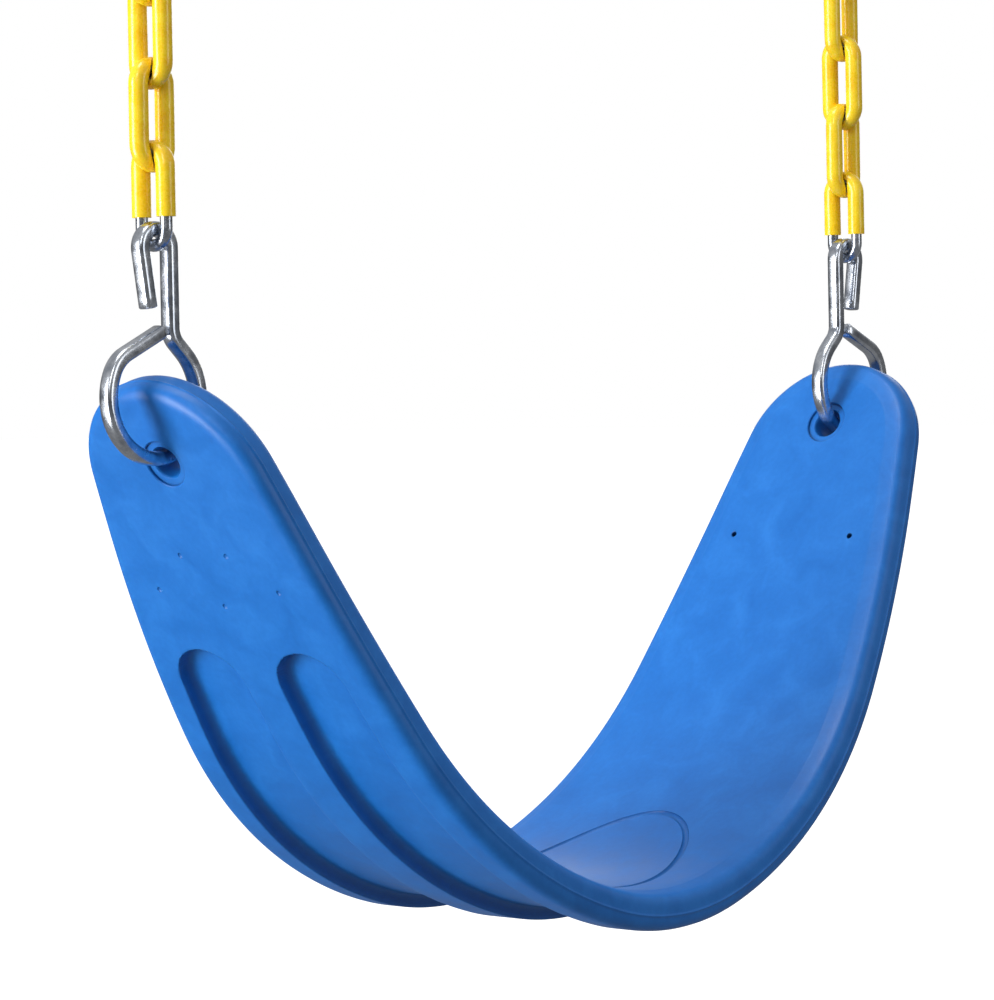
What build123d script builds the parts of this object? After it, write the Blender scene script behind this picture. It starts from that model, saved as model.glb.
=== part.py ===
"""Belt swing seat hung on two coated chains, with a bent clip at each end and a snap hook on top.

Frame: millimetres, +Z up, X across the seat, Y fore and aft.
The origin is the middle of the hanging line, where the hangers bear in the two snap hooks.
Sizes are worked out from the belt's underside upwards and everything is lowered at the end.
"""
import os
from math import cos, degrees, radians, sin, sqrt

from build123d import *

# ---- seat belt ----
belt_length = 660.0
belt_width = 146.0
nose_radius = 46.0
inner_thickness = 9.6
outer_thickness = 6.4
rim_draft = 7.0
inner_round = 7.0
outer_round = 5.0
bottom_bend = 130.0
bottom_bend_angle = 16.2
flank_bend = 195.0
flank_bend_angle = 39.4
limb_bend = 880.0
limb_bend_angle = 5.9

# ---- holes and moulded detail of the belt ----
hole_diameter = 13.0
hole_to_tip = 32.6
hole_recess_diameter = 19.5
hole_recess_depth = 1.2
pin_mark_to_tip = 90.0
pin_mark_spread = 65.0
pin_mark_diameter = 2.6
pin_mark_depth = 8.0
dimple_diameter = 2.4
dimple_depth = 0.5
dimple_row_gap = 15.7
dimple_row_spread = 25.0
dimple_last_gap = 6.8
flute_depth = 6.0
flute_rib = 19.0
flute_margin = 15.5
flute_to_tip = 116.0
flute_floor_round = 3.5
badge_length = 146.0
badge_width = 86.0
badge_shift = -4.0
badge_line = 2.8
badge_depth = 1.0

# ---- bent clip ----
bar_depth = 6.6
bar_height = 5.6
bar_round = 1.4
ring_radius = 22.8
ring_shoulder_radius = 14.0
ring_start_angle = 133.5
ring_end_angle = 25.0
ring_shoulder_turn = 40.0
ring_end_gap = 1.5
waist_radius = 8.0
waist_run = 5.4
hook_radius = 7.3
hook_height = 56.0
hook_overturn = 9.0
hook_leg = 21.7
ring_in_hole_clearance = 1.0

# ---- chain ----
links_per_side = 5
wire_diameter = 4.8
link_pitch = 31.0
link_spacing = 13.3
coat_thickness = 1.3
coat_clearance = 0.25
coat_relief_swing = 20.0
coat_stop = 4.0
hook_in_link_clearance = 0.4

# ---- snap hook ----
snap_wire = 6.0
snap_bend = 10.5
snap_height = 64.0
tail_length = 1.0
nose_length = 2.0
tongue_thickness = 2.0
tongue_width = 4.6
tongue_reach = 2.3
nose_tongue = 3.0
gate_diameter = 6.4
gate_slot_clearance = 0.3
gate_end_clearance = 0.5
pivot_diameter = 2.4
pivot_clearance = 0.1
pivot_head_diameter = 4.0
pivot_head_thickness = 0.8
spring_wire = 0.5
spring_outer = 3.0
spring_turns = 7
spring_pitch = 1.3
spring_clearance = 0.25
snap_in_link_clearance = 0.15

belt_thickness = inner_thickness + outer_thickness
half_length = belt_length / 2
half_width = belt_width / 2
nose_centre = half_length - nose_radius
side_radius = nose_centre**2 + half_width**2 - nose_radius**2
side_radius = side_radius / (2 * (half_width - nose_radius))
side_tangent = nose_centre * side_radius / (side_radius - nose_radius)
bottom_run = bottom_bend * radians(bottom_bend_angle)
flank_run = flank_bend * radians(flank_bend_angle)
limb_run = limb_bend * radians(limb_bend_angle)
straight_start = bottom_run + flank_run + limb_run
limb_angle = bottom_bend_angle + flank_bend_angle + limb_bend_angle
hole_station = half_length - hole_to_tip


def station(s):
    """Place on the belt's parting line at distance s from the middle: x, z and slope in degrees."""
    side = 1 if s >= 0 else -1
    left = abs(s)
    x, z, slope = 0.0, outer_thickness, 0.0
    for radius, run in ((bottom_bend, bottom_run), (flank_bend, flank_run), (limb_bend, limb_run)):
        used = min(left, run)
        turned = used / radius
        x += radius * (sin(radians(slope) + turned) - sin(radians(slope)))
        z += radius * (cos(radians(slope)) - cos(radians(slope) + turned))
        slope += degrees(turned)
        left -= used
    x += left * cos(radians(slope))
    z += left * sin(radians(slope))
    return side * x, z, side * slope


def across(s):
    """Plane square to the belt at distance s, with its X along the belt's width and Y to the sitter."""
    x, z, slope = station(s)
    run = (cos(radians(slope)), 0, sin(radians(slope)))
    return Plane(origin=(x, 0, z), x_dir=(0, 1, 0), z_dir=run)


def on_belt(s):
    """Plane lying in the belt at distance s, with its X along the belt and Z to the sitter."""
    x, z, slope = station(s)
    up = (-sin(radians(slope)), 0, cos(radians(slope)))
    run = (cos(radians(slope)), 0, sin(radians(slope)))
    return Plane(origin=(x, 0, z), x_dir=run, z_dir=up)


def belt_half_width(s):
    """Half width of the flat belt at distance s, on the long side arc."""
    return half_width - side_radius + sqrt(side_radius**2 - s**2)


def rim_outline(half):
    """Right half of the belt's cross-section: a parting line at mid rim, drafted walls, rounded edges."""
    top = half - inner_thickness * sin(radians(rim_draft))
    low = half - outer_thickness * sin(radians(rim_draft))
    points = ((0, inner_thickness), (top, inner_thickness), (half, 0), (low, -outer_thickness), (0, -outer_thickness))
    face = make_face(Polyline(*points, close=True))
    face = fillet(face.vertices().filter_by(lambda v: v.X > 1 and v.Y > 1), inner_round)
    return fillet(face.vertices().filter_by(lambda v: v.X > low - 0.1 and v.Y < -1), outer_round)


def belt_section(s):
    """Full cross-section of the belt, square to it at distance s."""
    half = rim_outline(belt_half_width(s))
    return across(s) * (half + mirror(half, Plane.YZ))


def belt_nose():
    """Round end of the belt, turned about the nose centre, beyond the point where the sides end."""
    disc = revolve(Plane.XZ * rim_outline(nose_radius), Axis.Z)
    beyond = Pos(side_tangent - nose_centre + belt_width, 0, 0) * Box(2 * belt_width, 2 * belt_width, belt_width)
    return on_belt(nose_centre) * (disc & beyond)


def nose_seam(nose):
    """Flat face of the round end where the belt's sides run into it."""
    run = across(side_tangent).z_dir
    square = [f for f in nose.faces() if f.geom_type == GeomType.PLANE and abs(f.normal_at().dot(run)) > 0.999]
    return square[0]


def flute(side):
    """One long flute moulded into the belt's underside, with half-round ends."""
    last = half_length - flute_to_tip - nose_radius * 0.4
    inner_edge = flute_rib / 2
    low, high = -outer_thickness - 6, -outer_thickness + flute_depth
    sections = []
    steps = 12
    for i in range(steps + 1):
        s = -last + 2 * last * i / steps
        outer_edge = belt_half_width(s) - flute_margin
        middle = side * (inner_edge + outer_edge) / 2
        face = Pos(middle, (low + high) / 2) * Rectangle(outer_edge - inner_edge, high - low)
        corners = face.vertices().filter_by(lambda v: v.Y > high - 0.1)
        sections.append(across(s) * fillet(corners, flute_floor_round))
    channel = loft(sections)
    end_radius = (belt_half_width(last) - flute_margin - inner_edge) / 2
    end_middle = side * (inner_edge + end_radius)
    for s in (-last, last):
        post = extrude(Pos(0, end_middle) * Circle(end_radius), amount=high - low)
        post = fillet(post.faces().sort_by(Axis.Z)[-1].edges(), flute_floor_round)
        channel += on_belt(s) * (Pos(0, 0, low) * post)
    return channel


def badge_ring():
    """Plain oval line moulded into the sitting face; it is an ellipse seen from above."""
    oval = Ellipse(badge_length / 2, badge_width / 2)
    inside = Ellipse(badge_length / 2 - badge_line, badge_width / 2 - badge_line)
    ring = Pos(0, badge_shift, 0) * extrude(oval - inside, amount=belt_length / 4)
    skin = []
    spread = 1.5 * badge_length
    width = badge_width + 4 * abs(badge_shift)
    for i in range(15):
        face = Pos(0, inner_thickness + 2 - badge_depth / 2) * Rectangle(width, 4 + badge_depth)
        skin.append(across(spread * (i / 14 - 0.5)) * face)
    return ring & loft(skin)


def seat():
    sections = 25
    stations = [side_tangent * (2 * i / (sections - 1) - 1) for i in range(1, sections - 1)]
    nose = belt_nose()
    # the sides run into the round ends on the nose's own cut face, so the two meet without a step
    seam = nose_seam(nose)
    body = loft([mirror(seam, Plane.YZ)] + [belt_section(s) for s in stations] + [seam])
    body += nose + mirror(nose, Plane.YZ)
    body -= flute(1) + flute(-1)
    body -= badge_ring()
    for s in (-hole_station, hole_station):
        here = on_belt(s)
        body -= here * Cylinder(hole_diameter / 2, 4 * belt_thickness)
        recess = Cylinder(hole_recess_diameter / 2, 2 * hole_recess_depth)
        body -= here * (Pos(0, 0, inner_thickness) * recess)
        body -= here * (Pos(0, 0, -outer_thickness) * recess)
    for side in (-1, 1):
        mark_station = side * (half_length - pin_mark_to_tip)
        mark = Cylinder(pin_mark_diameter / 2, 2 * pin_mark_depth)
        for y in (-pin_mark_spread / 2, pin_mark_spread / 2):
            body -= on_belt(mark_station) * (Pos(0, y, inner_thickness) * mark)
        dimple = Cylinder(dimple_diameter / 2, 2 * dimple_depth)
        dimples = [(0, -pin_mark_spread / 2), (0, pin_mark_spread / 2)]
        dimples += [(dimple_row_gap, -dimple_row_spread / 2), (dimple_row_gap, dimple_row_spread / 2)]
        dimples += [(-dimple_last_gap, 0)]
        for run, y in dimples:
            body -= on_belt(mark_station + side * run) * (Pos(0, y, -outer_thickness) * dimple)
    return body


# ---- clip ----
hole_x, hole_z, hole_slope = station(hole_station)
mid_rise = (inner_thickness - outer_thickness) / 2
mid_hole_x = hole_x - mid_rise * sin(radians(hole_slope))
mid_hole_z = hole_z + mid_rise * cos(radians(hole_slope))
wall_half = belt_thickness / 2 - hole_recess_depth
ring_inner = ring_radius - bar_height / 2
ring_chord = sqrt(ring_inner**2 - wall_half**2)
ring_to_hole = ring_chord + hole_diameter / 2 - ring_in_hole_clearance
ring_x = mid_hole_x + ring_to_hole * cos(radians(hole_slope))
ring_z = mid_hole_z + ring_to_hole * sin(radians(hole_slope))


def turn(point, heading, radius, angle):
    """End point of an arc that leaves point at heading and turns left by angle, in degrees."""
    side = 1 if angle > 0 else -1
    cx = point[0] - side * radius * sin(radians(heading))
    cy = point[1] + side * radius * cos(radians(heading))
    x = cx + side * radius * sin(radians(heading + angle))
    y = cy - side * radius * cos(radians(heading + angle))
    return (x, y)


def bend(point, heading, radius, angle):
    """Arc that leaves point at heading and turns left by angle; returns the arc and its end."""
    middle = turn(point, heading, radius, angle / 2)
    end = turn(point, heading, radius, angle)
    return ThreePointArc(point, middle, end), end, heading + angle


def straight(point, heading, length):
    end = (point[0] + length * cos(radians(heading)), point[1] + length * sin(radians(heading)))
    return Line(point, end), end, heading


waist_start = (ring_radius * cos(radians(ring_start_angle)), ring_radius * sin(radians(ring_start_angle)))
waist_heading = ring_start_angle - 90
waist_top = turn(straight(waist_start, waist_heading, waist_run)[1], waist_heading, waist_radius, 90 - waist_heading)
shank_x = waist_top[0]
hook_x = shank_x + hook_radius
hook_bar_z = hook_height + hook_radius


def clip():
    """Right-hand clip round its ring centre: ring, waist, shank and hook, all of one bent bar."""
    pieces = []
    ring_end = (ring_radius * cos(radians(ring_end_angle)), ring_radius * sin(radians(ring_end_angle)))
    shoulder, point, heading = bend(ring_end, ring_end_angle + 90, ring_shoulder_radius, ring_shoulder_turn)
    end_run = (point[0] - shank_x - bar_height / 2 - ring_end_gap) / cos(radians(180 - heading))
    end_run -= bar_height / 2 * sin(radians(180 - heading))
    tail, tail_end, heading = straight(point, heading, end_run)
    sweep_angle = 360 - ring_start_angle + ring_end_angle
    ring, point, heading = bend(waist_start, ring_start_angle + 90, ring_radius, sweep_angle)
    pieces += [tail, shoulder, ring]
    neck, point, heading = straight(waist_start, waist_heading, waist_run)
    pieces.append(neck)
    elbow, point, heading = bend(point, heading, waist_radius, 90 - waist_heading)
    pieces.append(elbow)
    shank, point, heading = straight(point, heading, hook_height - point[1])
    pieces.append(shank)
    hook, point, heading = bend(point, heading, hook_radius, -(180 + hook_overturn))
    pieces.append(hook)
    leg, leg_end, heading = straight(point, heading, hook_leg)
    pieces.append(leg)
    path = Wire(pieces)
    start = Plane(origin=path @ 0, x_dir=(0, 0, 1), z_dir=path % 0)
    bar = start * RectangleRounded(bar_depth, bar_height, bar_round)
    return Rot(90, 0, 0) * sweep(bar, path=path)


# ---- chain ----
bend_radius = link_spacing / 2
inner_bend = bend_radius - wire_diameter / 2
link_straight = link_pitch - 2 * inner_bend
link_height = link_straight + 2 * bend_radius
chain_x = ring_x + hook_x
chain_z = ring_z + hook_bar_z
# the hook's flat bar rests on both flanks of the link's round bend, a little above its lowest point
bar_rise = sqrt((inner_bend - bar_round) ** 2 - (bar_depth / 2 - bar_round) ** 2) - (bar_height / 2 - bar_round)
first_link_z = chain_z - bend_radius + bar_rise - hook_in_link_clearance


def link_tube(radius):
    """Closed oval tube round the link's wire line, in the XZ plane, lowest wire centre at the origin."""
    low = bend_radius
    high = bend_radius + link_straight
    half_ring = revolve(Pos(bend_radius, 0) * Circle(radius), Axis.Y, 180)
    tube = Pos(0, 0, low) * half_ring + Pos(0, 0, high) * (Rot(180, 0, 0) * half_ring)
    for x in (-bend_radius, bend_radius):
        tube += Pos(x, 0, (low + high) / 2) * Cylinder(radius, link_straight)
    return tube


def coat(in_xz, lowest):
    """Plastic coat of one link, relieved for the links that cross it and swing on it about X.

    A link that lies across the seat turns its neighbours about its own wire; a link that lies
    fore and aft is turned about its neighbours' wire. The lowest coat stops short of the clip.
    """
    body = link_tube(wire_diameter / 2 + coat_thickness) - link_tube(wire_diameter / 2)
    crossing = Rot(0, 0, 90) * link_tube(wire_diameter / 2 + coat_thickness + coat_clearance)
    swing_line = (1, 0, 0) if in_xz else (0, 1, 0)
    top_pivot = link_height if in_xz else link_pitch
    low_pivot = 0 if in_xz else link_height - link_pitch
    for swing in (-coat_relief_swing, 0, coat_relief_swing):
        above = Pos(0, 0, link_pitch) * crossing
        body -= above.rotate(Axis((0, 0, top_pivot), swing_line), swing)
        if not lowest:
            below = Pos(0, 0, -link_pitch) * crossing
            body -= below.rotate(Axis((0, 0, low_pivot), swing_line), swing)
    if lowest:
        stop = bend_radius + coat_stop
        body -= Pos(0, 0, stop - link_height) * Box(4 * link_height, 4 * link_height, 2 * link_height)
    return body.solids().sort_by(SortBy.VOLUME)[-1]


def place_link(solid, k):
    """Turn every other link by a quarter and lift it to its place; x is the chain's line."""
    quarter = 0 if k % 2 == 1 else 90
    return Pos(chain_x, 0, first_link_z + k * link_pitch) * (Rot(0, 0, quarter) * solid)


# ---- snap hook ----
snap_low_z = first_link_z + (links_per_side - 1) * link_pitch + link_height
snap_low_z -= wire_diameter / 2 + snap_wire / 2 + snap_in_link_clearance
snap_straight = snap_height - snap_wire - 2 * snap_bend
spine_low = snap_low_z + snap_bend
spine_high = spine_low + snap_straight
tail_end = spine_low + tail_length
nose_end = spine_high - nose_length
pivot_z = tail_end + gate_diameter / 2 + gate_end_clearance
tongue_top = pivot_z + tongue_reach
hanging_z = spine_high + snap_bend - snap_wire / 2


def snap_hook():
    """Bent hook with a flat tongue at each end of its open side, spine towards the seat's middle."""
    tail = Line((snap_bend, tail_end), (snap_bend, spine_low))
    lower = ThreePointArc((snap_bend, spine_low), (0, snap_low_z), (-snap_bend, spine_low))
    spine = Line((-snap_bend, spine_low), (-snap_bend, spine_high))
    upper = ThreePointArc((-snap_bend, spine_high), (0, spine_high + snap_bend), (snap_bend, spine_high))
    nose = Line((snap_bend, spine_high), (snap_bend, nose_end))
    start = Plane(origin=(snap_bend, tail_end, 0), z_dir=(0, -1, 0))
    body = sweep(start * Circle(snap_wire / 2), path=Wire([tail, lower, spine, upper, nose]))
    body = Rot(90, 0, 0) * body
    root = snap_wire / 2
    low_tongue = Box(tongue_width, tongue_thickness, tongue_top - tail_end + root)
    high_tongue = Box(tongue_width, tongue_thickness, nose_tongue + root)
    body += Pos(snap_bend, 0, (tongue_top + tail_end - root) / 2) * low_tongue
    body += Pos(snap_bend, 0, nose_end + (root - nose_tongue) / 2) * high_tongue
    bore = Cylinder(pivot_diameter / 2 + pivot_clearance, 4 * snap_wire)
    return body - Pos(snap_bend, 0, pivot_z) * (Rot(90, 0, 0) * bore)


def snap_gate():
    """Straight gate with a round foot, a slot over each tongue and a bore for its spring."""
    top = nose_end - gate_end_clearance
    body = Pos(0, 0, (pivot_z + top) / 2) * Cylinder(gate_diameter / 2, top - pivot_z)
    body += Pos(0, 0, pivot_z) * Sphere(gate_diameter / 2)
    slot = tongue_thickness + 2 * gate_slot_clearance
    low_slot_top = tongue_top + gate_end_clearance
    high_slot_low = nose_end - nose_tongue - gate_end_clearance
    low_slot = Box(2 * gate_diameter, slot, 2 * (low_slot_top - pivot_z))
    high_slot = Box(2 * gate_diameter, slot, 2 * (top - high_slot_low))
    body -= Pos(0, 0, pivot_z) * low_slot
    body -= Pos(0, 0, top) * high_slot
    bore_length = spring_turns * spring_pitch + 2 * spring_wire + 2 * gate_end_clearance
    bore = Cylinder(spring_outer / 2 + spring_clearance, 2 * bore_length)
    body -= Pos(0, 0, low_slot_top) * bore
    body -= Pos(0, 0, pivot_z) * (Rot(90, 0, 0) * Cylinder(pivot_diameter / 2, 2 * gate_diameter))
    return Pos(snap_bend, 0, 0) * body


def snap_pin():
    """Rivet through the gate's two ears and the hook's tongue."""
    length = gate_diameter + 2 * pivot_head_thickness
    pin = Cylinder(pivot_diameter / 2, length)
    for side in (-1, 1):
        head = Cylinder(pivot_head_diameter / 2, pivot_head_thickness)
        pin += Pos(0, 0, side * (gate_diameter + pivot_head_thickness) / 2) * head
    return Pos(snap_bend, 0, pivot_z) * (Rot(90, 0, 0) * pin)


def snap_spring():
    """Small coil spring in the gate, standing on the hook's tongue."""
    radius = (spring_outer - spring_wire) / 2
    coil = Helix(pitch=spring_pitch, height=spring_turns * spring_pitch, radius=radius)
    start = Plane(origin=coil @ 0, z_dir=coil % 0)
    wire = sweep(start * Circle(spring_wire / 2), path=coil, is_frenet=True)
    return Pos(snap_bend, 0, tongue_top + gate_end_clearance + spring_wire) * wire


# ---- assembly ----
def right_side():
    """Every piece on the right of the seat, by name."""
    side = {"clip": Pos(ring_x, 0, ring_z) * clip()}
    wire = link_tube(wire_diameter / 2)
    coats = {in_xz: coat(in_xz, False) for in_xz in (False, True)}
    for k in range(links_per_side):
        in_xz = k % 2 == 1
        side[f"link_{k + 1}"] = place_link(wire, k)
        side[f"link_coat_{k + 1}"] = place_link(coat(in_xz, True) if k == 0 else coats[in_xz], k)
    for name, make in (("hook", snap_hook), ("gate", snap_gate), ("pin", snap_pin), ("spring", snap_spring)):
        side[f"snap_{name}"] = Pos(chain_x, 0, 0) * make()
    return side


pieces = {"seat": seat()}
for name, solid in right_side().items():
    pieces[f"right_{name}"] = solid
    pieces[f"left_{name}"] = mirror(solid, Plane.YZ)

os.makedirs("parts", exist_ok=True)
for name, solid in pieces.items():
    export_step(Pos(0, 0, -hanging_z) * solid, f"parts/{name}.step")
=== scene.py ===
from math import atan2, cos, pi, radians, sin, sqrt

import bmesh
import bpy
import numpy as np
from mathutils import Matrix, Vector


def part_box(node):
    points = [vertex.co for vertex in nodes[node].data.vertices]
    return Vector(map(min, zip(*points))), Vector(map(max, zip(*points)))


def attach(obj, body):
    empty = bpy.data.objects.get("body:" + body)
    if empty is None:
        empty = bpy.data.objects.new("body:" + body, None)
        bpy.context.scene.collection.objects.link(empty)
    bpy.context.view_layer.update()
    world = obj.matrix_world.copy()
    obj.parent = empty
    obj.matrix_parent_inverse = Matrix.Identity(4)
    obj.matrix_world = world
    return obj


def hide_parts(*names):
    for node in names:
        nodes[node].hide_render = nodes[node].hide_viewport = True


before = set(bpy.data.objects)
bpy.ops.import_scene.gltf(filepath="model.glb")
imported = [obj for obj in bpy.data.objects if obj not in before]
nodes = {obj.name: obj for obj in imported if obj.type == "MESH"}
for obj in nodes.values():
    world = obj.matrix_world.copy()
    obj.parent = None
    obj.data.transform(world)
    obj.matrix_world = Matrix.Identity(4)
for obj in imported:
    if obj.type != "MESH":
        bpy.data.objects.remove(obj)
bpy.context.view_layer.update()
mm = 0.001


# materials
def linear(hexColour):
    channels = [int(hexColour[i:i + 2], 16) / 255 for i in (0, 2, 4)]
    lights = [c / 12.92 if c <= 0.04045 else ((c + 0.055) / 1.055) ** 2.4 for c in channels]
    return (*lights, 1.0)


def perMetre(size):
    # noise scale for a pattern this many millimetres wide
    return 1000 / size


def put(tree, kind, values=None, feeds=None):
    # adds one node, sets its sockets or properties, and links what feeds it
    node = tree.nodes.new("ShaderNode" + kind)
    for name, value in (values or {}).items():
        if name == "stops":
            ramp = node.color_ramp
            while len(ramp.elements) < len(value):
                ramp.elements.new(0.5)
            for element, (place, colour) in zip(ramp.elements, value):
                element.position = place
                element.color = colour
        elif isinstance(name, int) or name in node.inputs:
            node.inputs[name].default_value = value
        else:
            setattr(node, name, value)
    for name, source in (feeds or {}).items():
        tree.links.new(source, node.inputs[name])
    return node


def tones(stops):
    return [(place, linear(colour)) for place, colour in stops]


def newMaterial(name):
    material = bpy.data.materials.new(name)
    material.use_nodes = True
    material.node_tree.nodes.clear()
    return material, material.node_tree


def grey(value):
    return (value, value, value, 1.0)


# Polyethylene-rubber blend, injection moulded in a spark-eroded tool: satin blue with a faint cloudy flow
# pattern and a fine even grain that breaks the highlights up.
beltPlastic = {
    "tones": ((0.42, "1063B4"), (0.66, "1469BC"), (0.92, "1B71C5")),
    "cloud": 17.0,             # flow clouds, mm
    "fleck": 2.4,              # pigment flecks, mm
    "fleckShare": 0.35,
    "ripple": 38.0,            # slow waves left by shrinkage, mm
    "rippleBump": (0.08, 1.0),   # strength, and depth in mm
    "grain": 0.9,              # tool texture, mm; the real 0.1 mm is drawn coarser so that it shows
    "grainBump": (0.16, 0.12),
    "paintedShade": 7.0,               # how far the painted shade in corners reaches, mm
    "paintedShadeTone": 0.3,           # share of the colour left where the painted shade is deepest
    "roughness": (0.38, 0.46),
    "ior": 1.51,
    "specular": 0.38,
    "glow": (0.05, 1.5),       # subsurface weight, and depth in mm
}


def mouldedPolyethylene():
    m = beltPlastic
    material, tree = newMaterial("mouldedPolyethylene")
    place = put(tree, "TexCoord").outputs["Object"]
    cloud = put(tree, "TexNoise", {"Scale": perMetre(m["cloud"]), "Detail": 3.0, "Roughness": 0.55,
                                   "Distortion": 0.6}, {"Vector": place})
    fleck = put(tree, "TexNoise", {"Scale": perMetre(m["fleck"]), "Detail": 2.0}, {"Vector": place})
    stir = put(tree, "Math", {"operation": "MULTIPLY_ADD", 1: m["fleckShare"]},
               {0: fleck.outputs["Fac"], 2: cloud.outputs["Fac"]})
    tone = put(tree, "ValToRGB", {"stops": tones(m["tones"])}, {"Fac": stir.outputs[0]})
    low, high = m["roughness"]
    satin = put(tree, "MapRange", {"From Min": 0.3, "From Max": 0.7, "To Min": low, "To Max": high},
                {"Value": cloud.outputs["Fac"]})
    grain = put(tree, "TexNoise", {"Scale": perMetre(m["grain"]), "Detail": 3.0, "Roughness": 0.6},
                {"Vector": place})
    ripple = put(tree, "TexNoise", {"Scale": perMetre(m["ripple"]), "Detail": 1.0}, {"Vector": place})
    strength, deep = m["rippleBump"]
    wave = put(tree, "Bump", {"Strength": strength, "Distance": deep * mm}, {"Height": ripple.outputs["Fac"]})
    strength, deep = m["grainBump"]
    bump = put(tree, "Bump", {"Strength": strength, "Distance": deep * mm},
               {"Height": grain.outputs["Fac"], "Normal": wave.outputs["Normal"]})
    # painted shade: grooves, flutes and corners are darkened by an ambient occlusion factor, standing in for the
    # shade that falls there
    paintedShade = put(tree, "AmbientOcclusion", {"Distance": m["paintedShade"] * mm, "samples": 6, "only_local": True})
    paintedShadeFactor = put(tree, "MapRange", {"From Min": 0.35, "From Max": 0.95, "To Min": m["paintedShadeTone"], "To Max": 1.0},
               {"Value": paintedShade.outputs["AO"]})
    # the belt colour is multiplied by the painted shade
    shadePaintedColour = put(tree, "VectorMath", {"operation": "SCALE"},
                  {0: tone.outputs["Color"], "Scale": paintedShadeFactor.outputs["Result"]})
    glow, reach = m["glow"]
    shader = put(tree, "BsdfPrincipled", {"IOR": m["ior"], "Specular IOR Level": m["specular"],
                                          "Subsurface Weight": glow, "Subsurface Scale": reach * mm},
                 {"Base Color": shadePaintedColour.outputs["Vector"], "Roughness": satin.outputs["Result"],
                  "Normal": bump.outputs["Normal"]})
    put(tree, "OutputMaterial", {}, {"Surface": shader.outputs["BSDF"]})
    return material


# PVC plastisol, dipped hot and oven cured: thick glossy yellow skin with a slightly lumpy, flowed surface
# and a softer sheen where the links rub.
chainVinyl = {
    "tones": ((0.3, "F5C614"), (0.5, "FAD21C"), (0.75, "FDDB30")),
    "lump": 6.5,               # runs and lumps of the dip, mm
    "lumpBump": (0.4, 0.6),    # strength, and depth in mm
    "peel": 1.1,               # orange peel, mm
    "peelBump": (0.12, 0.12),
    "roughness": (0.2, 0.36),
    "ior": 1.53,
    "glow": (0.12, 1.2),       # subsurface weight, and depth in mm
    "skin": (0.25, 0.12),      # coat weight and roughness
}


def dippedPlastisol():
    m = chainVinyl
    material, tree = newMaterial("dippedPlastisol")
    place = put(tree, "TexCoord").outputs["Object"]
    lump = put(tree, "TexNoise", {"Scale": perMetre(m["lump"]), "Detail": 2.0, "Distortion": 0.4},
               {"Vector": place})
    peel = put(tree, "TexNoise", {"Scale": perMetre(m["peel"]), "Detail": 2.0}, {"Vector": place})
    tone = put(tree, "ValToRGB", {"stops": tones(m["tones"])}, {"Fac": lump.outputs["Fac"]})
    low, high = m["roughness"]
    sheen = put(tree, "MapRange", {"From Min": 0.35, "From Max": 0.65, "To Min": low, "To Max": high},
                {"Value": peel.outputs["Fac"]})
    strength, deep = m["lumpBump"]
    lumps = put(tree, "Bump", {"Strength": strength, "Distance": deep * mm}, {"Height": lump.outputs["Fac"]})
    strength, deep = m["peelBump"]
    skin = put(tree, "Bump", {"Strength": strength, "Distance": deep * mm},
               {"Height": peel.outputs["Fac"], "Normal": lumps.outputs["Normal"]})
    glow, reach = m["glow"]
    gloss, blur = m["skin"]
    shader = put(tree, "BsdfPrincipled", {"IOR": m["ior"], "Subsurface Weight": glow, "Subsurface Scale": reach * mm,
                                          "Coat Weight": gloss, "Coat Roughness": blur},
                 {"Base Color": tone.outputs["Color"], "Roughness": sheen.outputs["Result"],
                  "Normal": skin.outputs["Normal"]})
    put(tree, "OutputMaterial", {}, {"Surface": shader.outputs["BSDF"]})
    return material


# Mild steel, zinc electroplated bright: cool silver with drawing lines softened under the plate and faint
# cloudy passivation.
zincPlate = {
    "tones": ((0.35, "A9B0BC"), (0.6, "CDD2DA")),
    "cloud": 6.0,              # passivation clouds, mm
    "pit": 0.8,                # drawing marks, mm; the real 0.1 mm is drawn coarser so that it shows
    "roughness": (0.17, 0.3),
}
wireZinc = {"tones": ((0.35, "9AA1AC"), (0.6, "C4C9D1")), "cloud": 4.0, "pit": 0.6, "roughness": (0.2, 0.36)}
# Hard-drawn spring wire, oil tempered: darker and browner than the plated parts.
temperedWire = {"tones": ((0.35, "5C5F66"), (0.6, "85888E")), "cloud": 2.0, "pit": 0.4,
                "roughness": (0.28, 0.42)}
drawnBump = (0.06, 0.06)       # drawing marks in every steel: strength, and depth in mm


def platedSteel(name, m):
    material, tree = newMaterial(name)
    place = put(tree, "TexCoord").outputs["Object"]
    cloud = put(tree, "TexNoise", {"Scale": perMetre(m["cloud"]), "Detail": 4.0, "Roughness": 0.6},
                {"Vector": place})
    pit = put(tree, "TexNoise", {"Scale": perMetre(m["pit"]), "Detail": 3.0}, {"Vector": place})
    tone = put(tree, "ValToRGB", {"stops": tones(m["tones"])}, {"Fac": cloud.outputs["Fac"]})
    low, high = m["roughness"]
    polish = put(tree, "MapRange", {"From Min": 0.3, "From Max": 0.7, "To Min": low, "To Max": high},
                 {"Value": cloud.outputs["Fac"]})
    strength, deep = drawnBump
    marks = put(tree, "Bump", {"Strength": strength, "Distance": deep * mm}, {"Height": pit.outputs["Fac"]})
    shader = put(tree, "BsdfPrincipled", {"Metallic": 1.0},
                 {"Base Color": tone.outputs["Color"], "Roughness": polish.outputs["Result"],
                  "Normal": marks.outputs["Normal"]})
    put(tree, "OutputMaterial", {}, {"Surface": shader.outputs["BSDF"]})
    return material


beltBlue = mouldedPolyethylene()
coatYellow = dippedPlastisol()
clipZinc = platedSteel("brightZincPlate", zincPlate)
chainZinc = platedSteel("zincPlatedWire", wireZinc)
springSteel = platedSteel("oilTemperedWire", temperedWire)
print("materials made")

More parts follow.
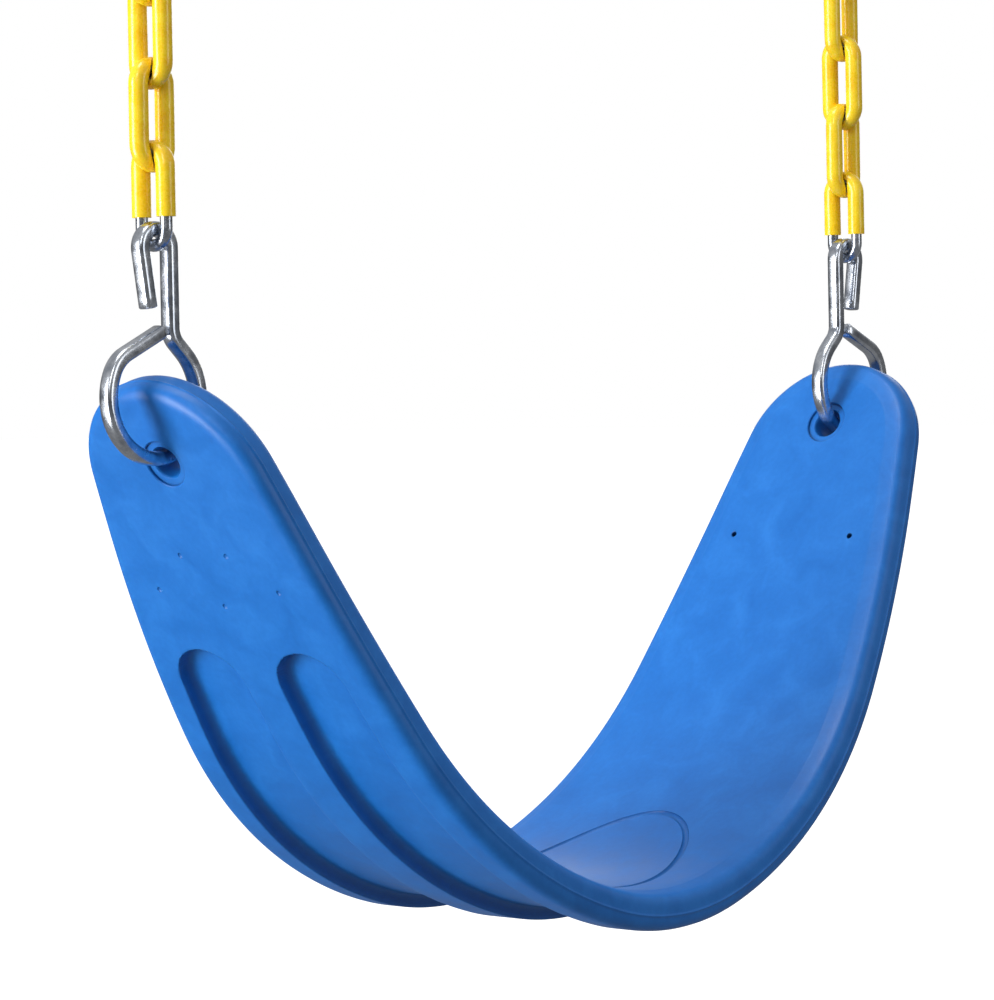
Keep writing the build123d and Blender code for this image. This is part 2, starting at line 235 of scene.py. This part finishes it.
# belt
belt = {
    "length": 660.0,
    "width": 146.0,
    "noseRadius": 46.0,
    "inner": 9.6,          # parting line up to the sitting face
    "outer": 6.4,          # parting line down to the underside
    "bends": ((130.0, 16.2), (195.0, 39.4), (880.0, 5.9)),   # radius and turn, from the middle outwards
    "flash": 0.28,         # moulding line standing proud of the rim
    # rim from the moulding line up over the shoulder, then down and under: (inwards, height)
    "shoulder": ((0.0, 0.4), (0.12, 1.0), (0.3, 2.4), (0.5, 3.9), (0.85, 5.3), (1.5, 6.6), (2.4, 7.6), (3.4, 8.2),
                 (4.4, 8.55), (6.5, 8.95), (8.6, 9.3), (9.4, 9.42), (9.9, 9.53), (10.6, 9.6)),
    "heel": ((0.0, -0.4), (0.15, -1.2), (0.3, -2.4), (0.7, -3.7), (1.5, -4.95), (2.7, -5.85), (4.2, -6.3),
             (5.6, -6.4)),
    "fluteDepth": 6.0,
    # wall of a flute: (distance in from its edge, rise)
    "fluteWall": ((-0.9, 0.0), (-0.45, 0.06), (-0.15, 0.35), (0.1, 1.9), (0.3, 3.1), (0.6, 4.05), (1.0, 4.75),
                  (1.6, 5.35), (2.3, 5.75), (3.1, 5.95), (4.0, 6.0)),
    "rib": 19.0,           # between the two flutes
    "fluteMargin": 15.5,   # between a flute and the rim
    "fluteLast": 195.6,    # where its half round starts
    "hole": (297.4, 6.5, 9.75, 1.2),     # station, radius, recess radius, recess depth
    "pinMark": (240.0, 32.5, 1.3, 8.0),  # station, spread to each side, radius, depth
    "dimples": ((0.0, 32.5), (0.0, -32.5), (15.7, 12.5), (15.7, -12.5), (-6.8, 0.0)),
    "oval": (73.0, 43.0, -4.0, 2.8, 1.0),   # half length and width seen from above, shift, line width and depth
    "column": 2.0,         # mesh step along the belt
    "fineColumn": (0.6, 6, 22),   # step where the flutes end, and how far before and past it goes
    "noseColumns": 80,
    "topRows": 12,
    "floorRows": 39,
    "leanFrom": 240.0,     # where the rows start to gather towards the middle of the nose
    "sharpFrom": 38,       # degrees
}
b = belt
halfWidth = b["width"] / 2
noseCentre = b["length"] / 2 - b["noseRadius"]
sideRadius = (noseCentre ** 2 + halfWidth ** 2 - b["noseRadius"] ** 2) / (2 * (halfWidth - b["noseRadius"]))
sideTangent = noseCentre * sideRadius / (sideRadius - b["noseRadius"])
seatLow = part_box("seat")[0]


def halfAt(s):
    return halfWidth - sideRadius + np.sqrt(sideRadius ** 2 - np.minimum(np.abs(s), sideTangent) ** 2)


def bent(s, y, h):
    # flat belt (along, across, height over the moulding line) to its hanging shape, in metres
    s, y, h = np.asarray(s, float), np.asarray(y, float), np.asarray(h, float)
    left = np.abs(s)
    x = np.zeros_like(left)
    z = np.full_like(left, b["outer"])
    slope = np.zeros_like(left)
    for radius, turnAngle in b["bends"]:
        used = np.clip(left, 0, radius * radians(turnAngle)) / radius
        x += radius * (np.sin(slope + used) - np.sin(slope))
        z += radius * (np.cos(slope) - np.cos(slope + used))
        slope = slope + used
        left = left - used * radius
    x += left * np.cos(slope) - h * np.sin(slope)
    z += left * np.sin(slope) + h * np.cos(slope)
    return np.stack([np.where(s < 0, -x, x) * mm, y * mm, seatLow.z + z * mm], -1)


def meshOf(name, points, faces, smooth=True):
    mesh = bpy.data.meshes.new(name)
    mesh.from_pydata([tuple(p) for p in points], [], faces)
    mesh.update()
    for face in mesh.polygons:
        face.use_smooth = smooth
    piece = bpy.data.objects.new(name, mesh)
    bpy.context.scene.collection.objects.link(piece)
    return piece


def tidied(piece, weld=0.002 * mm):
    work = bmesh.new()
    work.from_mesh(piece.data)
    bmesh.ops.remove_doubles(work, verts=work.verts, dist=weld)
    bmesh.ops.recalc_face_normals(work, faces=work.faces)
    work.to_mesh(piece.data)
    work.free()
    return piece


def smoothStep(v):
    v = np.clip(v, 0, 1)
    return v * v * (3 - 2 * v)


def beltStations():
    # closer together where the flutes end in half rounds
    fine, before, past = b["fineColumn"]
    marks = [0.0]
    while marks[-1] < sideTangent - 0.5 * b["column"]:
        near = b["fluteLast"] - before < marks[-1] < b["fluteLast"] + past
        marks.append(marks[-1] + (fine if near else b["column"]))
    marks[-1] = sideTangent
    return np.array([-v for v in marks[:0:-1]] + marks)


def fluteRise(s, y):
    # how far the underside is pressed in at a point of the flat belt
    last = b["fluteLast"]
    inner = b["rib"] / 2
    radius = (halfAt(last) - b["fluteMargin"] - inner) / 2
    a, c = np.abs(s), np.abs(y)
    along = np.minimum(c - inner, halfAt(a) - b["fluteMargin"] - c)
    rounded = radius - np.hypot(a - last, c - inner - radius)
    inside = np.where(a > last, rounded, along)
    run, rise = zip(*b["fluteWall"])
    return np.interp(inside, run, rise) * b["fluteDepth"] / rise[-1]


def beltBody():
    stations = beltStations()
    tangentHalf = float(halfAt(sideTangent))
    reach = atan2(tangentHalf, sideTangent - noseCentre)
    around = np.linspace(reach, -reach, b["noseColumns"] + 2)[1:-1]
    outline, spine = [], []
    gathered = smoothStep((np.abs(stations) - b["leanFrom"]) / (sideTangent - b["leanFrom"]))
    pull = (sideTangent - noseCentre) * gathered
    for way in (1, -1):
        order = slice(None, None, way)
        for s, lean in zip(stations[order], pull[order]):
            outline.append((s, way * float(halfAt(s))))
            spine.append((s - np.sign(s) * lean, 0.0))
        for turnAngle in around:
            outline.append((way * (noseCentre + b["noseRadius"] * cos(turnAngle)),
                            way * b["noseRadius"] * sin(turnAngle)))
            spine.append((way * noseCentre, 0.0))
    outline, spine = np.array(outline), np.array(spine)
    run = np.linalg.norm(spine - outline, axis=1)
    inward = (spine - outline) / run[:, None]
    flash, top, under, rib = b["flash"], b["inner"], -b["outer"], b["rib"] / 2
    shoulderEnd = b["shoulder"][-1][0]
    edges = [inside for inside, rise in b["fluteWall"]]
    wallEnd = edges[-1]
    rows = []     # (distance in from the outline, height, may be fluted), from the sitting face to the underside

    def row(t, h, pressed=False):
        rows.append((t + 0 * run, h + 0 * run, pressed))

    for share in np.linspace(1, 0, b["topRows"] + 1)[:-1]:
        row(shoulderEnd + (run - shoulderEnd) * share, top)
    for t, h in reversed(b["shoulder"]):
        row(t, h)
    for t, h in ((-0.8 * flash, 0.2), (-flash, 0.0), (-0.8 * flash, -0.2)):
        row(t, h)
    for t, h in b["heel"]:
        row(t, h)
    for t in (8.0, 11.5, 13.8):
        row(t, under, True)
    for edge in edges:
        row(b["fluteMargin"] + edge, under, True)
    first = b["fluteMargin"] + wallEnd
    final = run - rib - wallEnd
    for share in np.linspace(0, 1, b["floorRows"] + 1)[1:]:
        row(first + (final - first) * share, under, True)
    for edge in reversed(edges[:-1]):
        row(run - rib - edge, under, True)
    for t in (6.0, 3.0, 0.0):
        row(run - t, under, True)
    points = []
    for t, h, pressed in rows:
        flat = outline + inward * t[:, None]
        if pressed:
            h = h + fluteRise(flat[:, 0], flat[:, 1])
        points.append(bent(flat[:, 0], flat[:, 1], h))
    count = len(outline)
    points = np.concatenate(points)
    faces = []
    for r in range(len(rows) - 1):
        for i in range(count):
            j = (i + 1) % count
            faces.append((r * count + i, r * count + j, (r + 1) * count + j, (r + 1) * count + i))
    return tidied(meshOf("seat_belt", points, faces))


def lathed(profile, station, y, parts):
    # closed turned tool, its axis square to the belt; heights run from the moulding line
    points, faces = [], []
    inner = [(r, h) for r, h in profile if r > 0]
    for r, h in inner:
        for k in range(parts):
            turnAngle = 2 * pi * k / parts
            points.append((station + r * cos(turnAngle), y + r * sin(turnAngle), h))
    tops = len(points)
    points += [(station, y, profile[0][1]), (station, y, profile[-1][1])]
    for r in range(len(inner) - 1):
        for k in range(parts):
            j = (k + 1) % parts
            faces.append((r * parts + k, r * parts + j, (r + 1) * parts + j, (r + 1) * parts + k))
    end = (len(inner) - 1) * parts
    for k in range(parts):
        j = (k + 1) % parts
        faces.append((j, k, tops))
        faces.append((end + k, end + j, tops + 1))
    return points, faces


def ovalTool():
    # the oval is an ellipse seen from above, so its stations are looked up from how far out they lie
    length, width, shift, line, depth = b["oval"]
    half = line / 2
    section = [(-half, 1.2), (-half, 0.0), (-0.8 * half, -0.6 * depth), (-0.3 * half, -depth),
               (0.4 * half, -0.9 * depth), (0.8 * half, -0.5 * depth), (half, 0.0), (half, 1.2)]
    stations = np.linspace(-140, 140, 1401)     # every 0.2 mm, past the oval's ends
    reach = bent(stations, 0 * stations, b["inner"] + 0 * stations)[:, 0] / mm
    points, faces = [], []
    parts = 240
    for k in range(parts):
        turned = 2 * pi * k / parts
        x, y = (length - half) * cos(turned), (width - half) * sin(turned)
        out = Vector((cos(turned) / (length - half), sin(turned) / (width - half))).normalized()
        for n, h in section:
            points.append((float(np.interp(x + out.x * n, reach, stations)), y + shift + out.y * n, b["inner"] + h))
    size = len(section)
    for k in range(parts):
        j = (k + 1) % parts
        for i in range(size):
            m = (i + 1) % size
            faces.append((k * size + i, k * size + m, j * size + m, j * size + i))
    return points, faces


def beltTools():
    points, faces = [], []

    def collect(made):
        shift = len(points)
        points.extend(made[0])
        faces.extend([tuple(v + shift for v in face) for face in made[1]])

    station, radius, recess, depth = b["hole"]
    top, low = b["inner"] - depth, -b["outer"] + depth
    through = [(0, -20), (recess + 0.4, -20), (recess + 0.4, -b["outer"] - 0.05), (recess, -b["outer"] + 0.35),
               (recess - 0.1, low), (radius + 0.5, low), (radius + 0.1, low + 0.4), (radius, low + 1.2),
               (radius, top - 1.2), (radius + 0.1, top - 0.4), (radius + 0.5, top), (recess - 0.1, top),
               (recess, b["inner"] - 0.35), (recess + 0.4, b["inner"] + 0.05), (recess + 0.4, 20), (0, 20)]
    mark, spread, pinRadius, pinDepth = b["pinMark"]
    pin = [(0, b["inner"] - pinDepth), (0.9, b["inner"] - pinDepth), (pinRadius, b["inner"] - pinDepth + 0.6),
           (pinRadius, b["inner"] - 0.2), (pinRadius + 0.25, b["inner"] + 0.02), (pinRadius + 0.25, 14), (0, 14)]
    dimple = [(0, -10), (1.3, -10), (1.3, -b["outer"] - 0.02), (1.05, -b["outer"] + 0.3),
              (0.6, -b["outer"] + 0.48), (0.0, -b["outer"] + 0.52)]
    for side in (-1, 1):
        collect(lathed(through, side * station, 0.0, parts=72))
        for y in (-spread, spread):
            collect(lathed(pin, side * mark, y, parts=24))
        for stretch, y in b["dimples"]:
            collect(lathed(dimple, side * (mark + 1.5 + stretch), y, parts=24))
    collect(ovalTool())
    flat = np.array(points)
    return tidied(meshOf("belt_tools", bent(flat[:, 0], flat[:, 1], flat[:, 2]), faces), 0.0001 * mm)


def cutAway(piece, tool, sharpFrom):
    cut = piece.modifiers.new("cut", "BOOLEAN")
    cut.operation = "DIFFERENCE"
    cut.solver = "EXACT"
    cut.object = tool
    evaluated = piece.evaluated_get(bpy.context.evaluated_depsgraph_get())
    mesh = bpy.data.meshes.new_from_object(evaluated)
    piece.modifiers.clear()
    piece.data = mesh
    bpy.data.objects.remove(tool)
    for face in mesh.polygons:
        face.use_smooth = True
    mesh.set_sharp_from_angle(angle=radians(sharpFrom))
    return piece


seat = cutAway(beltBody(), beltTools(), b["sharpFrom"])
seat.data.materials.clear()
seat.data.materials.append(beltBlue)
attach(seat, "seat")
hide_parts("seat")
print("belt moulded:", len(seat.data.vertices), "points")

# bent clips
clip = {
    "bar": (6.6, 5.6),     # across the belt's width, and in the plane of the bends
    "crown": 3.4,          # how square the rolled bar is: 2 is an oval, 8 nearly a box
    "ring": 22.8,
    "ringStart": 133.5,
    "ringEnd": 25.0,
    "shoulder": (14.0, 40.0),
    "waist": (5.4, 8.0),
    "hook": (7.3, 56.0, 9.0, 21.7),      # radius, height, overturn, leg
    "endGap": 1.5,
    "inHole": 1.0,         # clearance of the ring in the belt's hole
    "crop": (0.45, 0.84),  # corners knocked off the cut ends: how far back, and share of the bar left
    "parts": 36,
    "sharpFrom": 50,       # degrees
}


def walk(point, heading, moves):
    # points and headings along straights (length, 0) and bends (radius, turn to the left)
    track = [(point[0], point[1], heading)]
    for size, turned in moves:
        x, z, angle = track[-1]
        steps = max(2, int(abs(turned) / 3)) if turned else max(1, int(size / 4))
        for i in range(1, steps + 1):
            if turned:
                side = 1 if turned > 0 else -1
                a0, a1 = radians(angle), radians(angle + turned * i / steps)
                track.append((x + side * size * (sin(a1) - sin(a0)), z - side * size * (cos(a1) - cos(a0)),
                              angle + turned * i / steps))
            else:
                track.append((x + size * i / steps * cos(radians(angle)),
                              z + size * i / steps * sin(radians(angle)), angle))
    return track


def clipTrack():
    c = clip
    start = (c["ring"] * cos(radians(c["ringStart"])), c["ring"] * sin(radians(c["ringStart"])))
    rise = c["ringStart"] - 90
    hookRadius, hookHeight, overturn, leg = c["hook"]
    run, elbow = c["waist"]
    toShank = [(run, 0), (elbow, 90 - rise)]
    shank = walk(start, rise, toShank)[-1]
    up = walk(start, rise, toShank + [(hookHeight - shank[1], 0), (hookRadius, -(180 + overturn)), (leg, 0)])
    shoulder, shoulderTurn = c["shoulder"]
    sweepAngle = 360 - c["ringStart"] + c["ringEnd"]
    toTail = [(c["ring"], sweepAngle), (shoulder, shoulderTurn)]
    x, z, heading = walk(start, c["ringStart"] + 90, toTail)[-1]
    half = c["bar"][1] / 2
    tail = (x - shank[0] - half - c["endGap"]) / cos(radians(180 - heading)) - half * sin(radians(180 - heading))
    down = walk(start, c["ringStart"] + 90, toTail + [(tail, 0)])
    back = [(px, pz, angle + 180) for px, pz, angle in reversed(up[1:])]
    return back + down


def bentClip(side):
    c = clip
    station, holeRadius = b["hole"][:2]
    depth = b["hole"][3]
    middle = bent(station, 0, (b["inner"] - b["outer"]) / 2) / mm
    slope = radians(sum(turned for radius, turned in b["bends"]))
    inner = c["ring"] - c["bar"][1] / 2
    wall = (b["inner"] + b["outer"]) / 2 - depth
    reach = sqrt(inner ** 2 - wall ** 2) + holeRadius - c["inHole"]
    centre = (middle[0] + reach * cos(slope), middle[2] + reach * sin(slope))
    track = clipTrack()
    back, kept = c["crop"]
    nudged = []
    for (x, z, angle), way in ((track[0], back), (track[-1], -back)):
        nudged.append((x + way * cos(radians(angle)), z + way * sin(radians(angle)), angle, 1.0))
    rings = [(*track[0], kept), nudged[0]] + [(*p, 1.0) for p in track[1:-1]] + [nudged[1], (*track[-1], kept)]
    parts, power = c["parts"], 2 / c["crown"]
    points, faces = [], []
    for x, z, angle, share in rings:
        nx, nz = -sin(radians(angle)), cos(radians(angle))
        for k in range(parts):
            turned = 2 * pi * (k + 0.5) / parts
            across = c["bar"][0] / 2 * np.sign(cos(turned)) * abs(cos(turned)) ** power * share
            out = c["bar"][1] / 2 * np.sign(sin(turned)) * abs(sin(turned)) ** power * share
            points.append(((centre[0] + x + nx * out) * side * mm, across * mm, (centre[1] + z + nz * out) * mm))
    for r in range(len(rings) - 1):
        for k in range(parts):
            j = (k + 1) % parts
            faces.append((r * parts + k, r * parts + j, (r + 1) * parts + j, (r + 1) * parts + k))
    faces.append(tuple(range(parts)))
    faces.append(tuple(range((len(rings) - 1) * parts, len(rings) * parts)))
    name = "right" if side > 0 else "left"
    piece = tidied(meshOf(name + "_bent_clip", points, faces), 0.0001 * mm)
    piece.data.set_sharp_from_angle(angle=radians(c["sharpFrom"]))
    piece.data.materials.append(clipZinc)
    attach(piece, name + "_clip")
    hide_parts(name + "_clip")


for side in (-1, 1):
    bentClip(side)
print("clips bent")

# hardware carried over from the frame
finishes = (
    ("link_coat", coatYellow),
    ("snap_spring", springSteel),
    ("snap", clipZinc),
    ("link", chainZinc),
)
# the dipped skin is a little thicker and thinner along each link
dip = {"lump": 5.5, "depth": 0.25}
dipLumps = bpy.data.textures.new("dipLumps", "CLOUDS")
dipLumps.noise_scale = dip["lump"] * mm
dipLumps.noise_depth = 1
for name, piece in nodes.items():
    for word, finish in finishes:
        if word in name:
            piece.data.materials.clear()
            piece.data.materials.append(finish)
            break
    if "link_coat" in name:
        swell = piece.modifiers.new("dip", "DISPLACE")
        swell.texture = dipLumps
        swell.texture_coords = "LOCAL"
        swell.mid_level = 0.5
        swell.strength = dip["depth"] * mm
print("hardware finished")

# studio
studio = {
    "eye": (-1.2260, -1.0751, -0.26293),
    "heading": 48.157,     # from +Y towards +X
    "pitch": -1.127,
    "roll": -1.0986,
    "lens": 141.13,
    "shift": -0.0406,
    "aim": (0, 0, -0.3),   # what every softbox faces
    "softboxes": {         # place, size, watts
        "key": ((-2.3, 1.0, -0.15), (0.9, 1.3), 46),
        "top": ((-0.5, 0.2, 1.8), (1.0, 0.8), 18),
        "front": ((-1.9, -1.0, 0.9), (0.4, 1.2), 10),
        "fill": ((0.7, -2.3, 0.1), (0.8, 1.2), 8),
        "low": ((-1.5, 0.6, -0.8), (0.9, 0.5), 17),
        "back": ((1.9, 1.2, 0.2), (1.2, 1.4), 10),
    },
    "floorDrop": 0.45,     # below the belt
    "floorReach": 40.0,
    "floorTones": (0.93, 0.96),
    "floorGlow": 0.85,
    "walls": ((0.0, 0.5), (0.36, 0.5), (0.46, 0.24), (0.56, 0.3), (0.68, 0.9), (1.0, 1.0)),   # from below to above
    "wallLight": 0.5,
}


def makeCamera():
    heading, pitch, roll = (radians(studio[k]) for k in ("heading", "pitch", "roll"))
    forward = Vector((sin(heading) * cos(pitch), cos(heading) * cos(pitch), sin(pitch)))
    right = Vector((cos(heading), -sin(heading), 0))
    up = right.cross(forward)
    turned = cos(roll) * right + sin(roll) * up
    upright = cos(roll) * up - sin(roll) * right
    camera = bpy.data.objects.new("camera", bpy.data.cameras.new("camera"))
    camera.data.lens = studio["lens"]
    camera.data.sensor_width = 36
    camera.data.shift_y = studio["shift"]
    camera.data.clip_start = 0.05
    camera.data.clip_end = 200
    axes = Matrix((turned, upright, -forward)).transposed().to_4x4()
    camera.matrix_world = Matrix.Translation(studio["eye"]) @ axes
    bpy.context.scene.collection.objects.link(camera)
    bpy.context.scene.camera = camera


def softbox(name, place, size, power):
    light = bpy.data.lights.new(name, "AREA")
    light.shape = "RECTANGLE"
    light.size, light.size_y = size
    light.energy = power
    lamp = bpy.data.objects.new(name, light)
    aimed = (Vector(studio["aim"]) - Vector(place)).to_track_quat("-Z", "Y").to_matrix().to_4x4()
    lamp.matrix_world = Matrix.Translation(place) @ aimed
    bpy.context.scene.collection.objects.link(lamp)


def paleFloor():
    reach = studio["floorReach"]
    level = seatLow.z - studio["floorDrop"]
    floor = meshOf("floor", [(-reach, -reach, level), (reach, -reach, level), (reach, reach, level),
                             (-reach, reach, level)], [(0, 1, 2, 3)], smooth=False)
    material, tree = newMaterial("paintedFloor")
    place = put(tree, "TexCoord").outputs["Object"]
    cloud = put(tree, "TexNoise", {"Scale": 2.0}, {"Vector": place})
    dull, bright = studio["floorTones"]
    tone = put(tree, "ValToRGB", {"stops": [(0.3, grey(dull)), (0.7, grey(bright))]},
               {"Fac": cloud.outputs["Fac"]})
    shader = put(tree, "BsdfPrincipled", {"Roughness": 0.9, "Emission Color": grey(1.0),
                                          "Emission Strength": studio["floorGlow"]},
                 {"Base Color": tone.outputs["Color"]})
    put(tree, "OutputMaterial", {}, {"Surface": shader.outputs["BSDF"]})
    floor.data.materials.append(material)
    floor.visible_diffuse = False     # it would flood the underside with light
    floor.visible_glossy = False


def surround():
    # white to look at, with darker walls for the steel to mirror
    world = bpy.data.worlds.new("surround")
    bpy.context.scene.world = world
    world.use_nodes = True
    tree = world.node_tree
    tree.nodes.clear()
    way = put(tree, "TexCoord").outputs["Generated"]
    height = put(tree, "SeparateXYZ", {}, {"Vector": way})
    share = put(tree, "MapRange", {"From Min": -1.0, "From Max": 1.0}, {"Value": height.outputs["Z"]})
    walls = put(tree, "ValToRGB", {"stops": [(place, grey(value)) for place, value in studio["walls"]]},
                {"Fac": share.outputs["Result"]})
    room = put(tree, "Background", {"Strength": studio["wallLight"]}, {"Color": walls.outputs["Color"]})
    backdrop = put(tree, "Background", {"Strength": 1.0, "Color": grey(1.0)})
    look = put(tree, "LightPath")
    mix = put(tree, "MixShader", {},
              {0: look.outputs["Is Camera Ray"], 1: room.outputs[0], 2: backdrop.outputs[0]})
    put(tree, "OutputWorld", {}, {"Surface": mix.outputs[0]})


bpy.context.scene.view_settings.view_transform = "Standard"
makeCamera()
for name, (place, size, power) in studio["softboxes"].items():
    softbox(name, place, size, power)
paleFloor()
surround()
print("studio lit")
